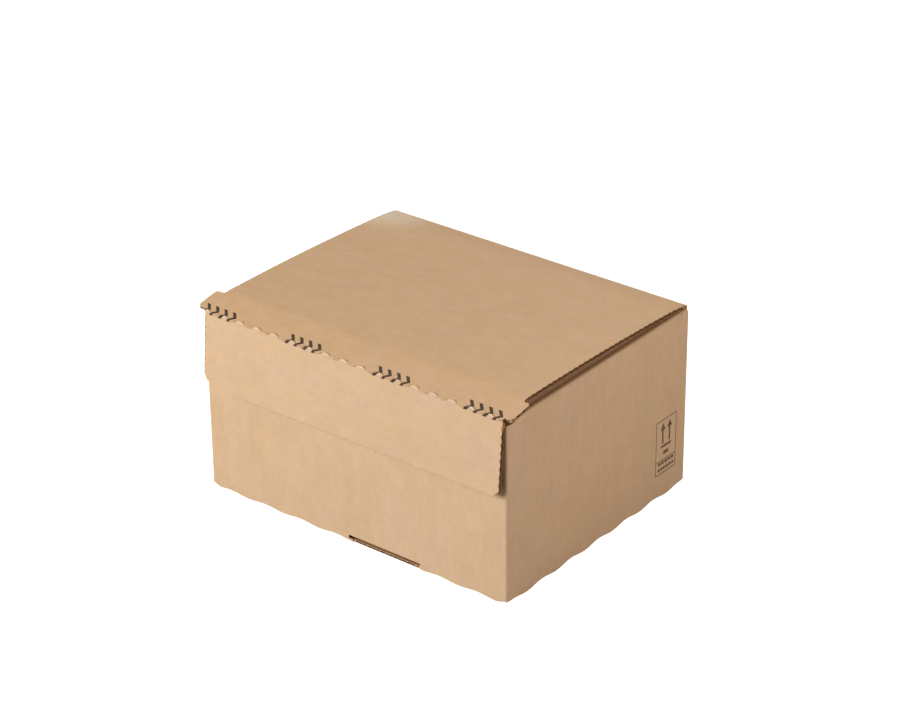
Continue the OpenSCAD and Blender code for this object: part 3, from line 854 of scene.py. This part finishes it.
# Adhesive strip: a soft layer of clear glue on the flap's inside, rolled onto the liner in
# one band from side to side, which leaves it slightly uneven.
GLUE_DARK = (0.62, 0.54, 0.34, 1)
GLUE_PALE = (0.8, 0.73, 0.52, 1)


def glue_ripple(tree, place):
    """Slow ripples where the glue was rolled on."""
    return noise(tree, place, scale=420, detail=3)


dress("adhesive_strip", thin_layer(
    "adhesive_film", glue_ripple, GLUE_DARK, GLUE_PALE, rough=0.15, rough_gain=0.3,
    relief=0.5, relief_depth=0.0001
))

# Release liner: a band of smooth, coated white paper over the adhesive, a little wider and
# longer than it. It peels off before the box is sealed.
RELEASE_DARK = (0.74, 0.76, 0.78, 1)
RELEASE_PALE = (0.86, 0.87, 0.88, 1)


def paper_cloud(tree, place):
    """Soft clouds of fibre under the coating."""
    return noise(tree, place, scale=130, detail=4)


dress("release_liner", thin_layer(
    "release_paper", paper_cloud, RELEASE_DARK, RELEASE_PALE, rough=0.28, rough_gain=0.2,
    relief=0.3, relief_depth=0.0001
))

# Studio: a plain white floor and soft lights: a broad one from the front, a low weaker one
# from the right, one from behind that lights the lid, and a dim room that looks white.
FLOOR_WIDTH = 12
FLOOR_COLOUR = (0.34, 0.33, 0.32, 1)
FLOOR_ROUGHNESS = 0.9
WHITE = 1.1
ROOM_LIGHT = (0.055, 0.05, 0.045, 1)


def hang_light(name, place, aim, width, power, colour):
    """A square soft light that hangs at a place and points at an aim."""
    lamp = bpy.data.objects.new(name, bpy.data.lights.new(name, "AREA"))
    bpy.context.scene.collection.objects.link(lamp)
    lamp.data.energy = power
    lamp.data.size = width
    lamp.data.color = colour
    lamp.location = place
    lamp.rotation_euler = (Vector(aim) - Vector(place)).to_track_quat("-Z", "Y").to_euler()


floor_mesh = bpy.data.meshes.new("studio_floor")
half = FLOOR_WIDTH / 2
floor_mesh.from_pydata(
    [(-half, -half, 0), (half, -half, 0), (half, half, 0), (-half, half, 0)], [], [(0, 1, 2, 3)]
)
studio_floor = bpy.data.objects.new("studio_floor", floor_mesh)
bpy.context.scene.collection.objects.link(studio_floor)
floor_paint = bpy.data.materials.new("white_floor")
floor_paint.use_nodes = True
tree = floor_paint.node_tree
floor_shader = tree.nodes["Principled BSDF"]
floor_shader.inputs["Base Color"].default_value = FLOOR_COLOUR
floor_shader.inputs["Roughness"].default_value = FLOOR_ROUGHNESS
floor_shader.inputs["Specular IOR Level"].default_value = 0.0
floor_shader.inputs["Emission Color"].default_value = (1, 1, 1, 1)
seen = lay_node(tree, "ShaderNodeLightPath").outputs["Is Camera Ray"]
tree.links.new(work_out(tree, "MULTIPLY", seen, WHITE), floor_shader.inputs["Emission Strength"])
floor_mesh.materials.append(floor_paint)

world = bpy.data.worlds.new("studio")
bpy.context.scene.world = world
world.use_nodes = True
room = world.node_tree
seen = lay_node(room, "ShaderNodeLightPath").outputs["Is Camera Ray"]
room_tone = mix_colours(room, seen, ROOM_LIGHT, (WHITE, WHITE, WHITE, 1))
room.links.new(room_tone, room.nodes["Background"].inputs["Color"])

hang_light("key_light", (-0.85, -2.02, 1.12), (0, 0, 0.08), 1.2, 71.5, (0.97, 0.985, 1))
hang_light("right_light", (0.95, 0.05, 0.43), (0.1, 0, 0.08), 0.5, 5.1, (1, 0.935, 0.895))
hang_light("back_light", (-0.75, 1.35, 1.1), (0, 0, 0.1), 0.9, 14.5, (1, 0.91, 0.82))

# Camera: a long lens in front of the box and to its right, well above it, and rolled by
# about half a degree. It is shifted sideways and up from a line through the frame's origin.
CAMERA_AZIMUTH = math.radians(38.5293)
CAMERA_ELEVATION = math.radians(27.7326)
CAMERA_ROLL = math.radians(-0.5492)
CAMERA_DISTANCE = 2.27213
CAMERA_SIDEWAYS = 0.00126
CAMERA_UP = 0.0961
CAMERA_LENS = 115.124
CAMERA_SENSOR = 36

looking = Vector((
    -math.sin(CAMERA_AZIMUTH) * math.cos(CAMERA_ELEVATION),
    math.cos(CAMERA_AZIMUTH) * math.cos(CAMERA_ELEVATION),
    -math.sin(CAMERA_ELEVATION),
))
level_right = looking.cross(Vector((0, 0, 1))).normalized()
level_up = level_right.cross(looking)
rolled_right = math.cos(CAMERA_ROLL) * level_right + math.sin(CAMERA_ROLL) * level_up
rolled_up = math.cos(CAMERA_ROLL) * level_up - math.sin(CAMERA_ROLL) * level_right
camera_place = rolled_right * CAMERA_SIDEWAYS + rolled_up * CAMERA_UP - looking * CAMERA_DISTANCE
camera = bpy.data.objects.new("camera", bpy.data.cameras.new("camera"))
bpy.context.scene.collection.objects.link(camera)
turn = Matrix((rolled_right, rolled_up, -looking)).transposed()
camera.matrix_world = Matrix.Translation(camera_place) @ turn.to_4x4()
camera.data.lens = CAMERA_LENS
camera.data.sensor_width = CAMERA_SENSOR
camera.data.clip_start = 0.05
camera.data.clip_end = 50
bpy.context.scene.camera = camera
bpy.context.scene.view_settings.view_transform = "Standard"
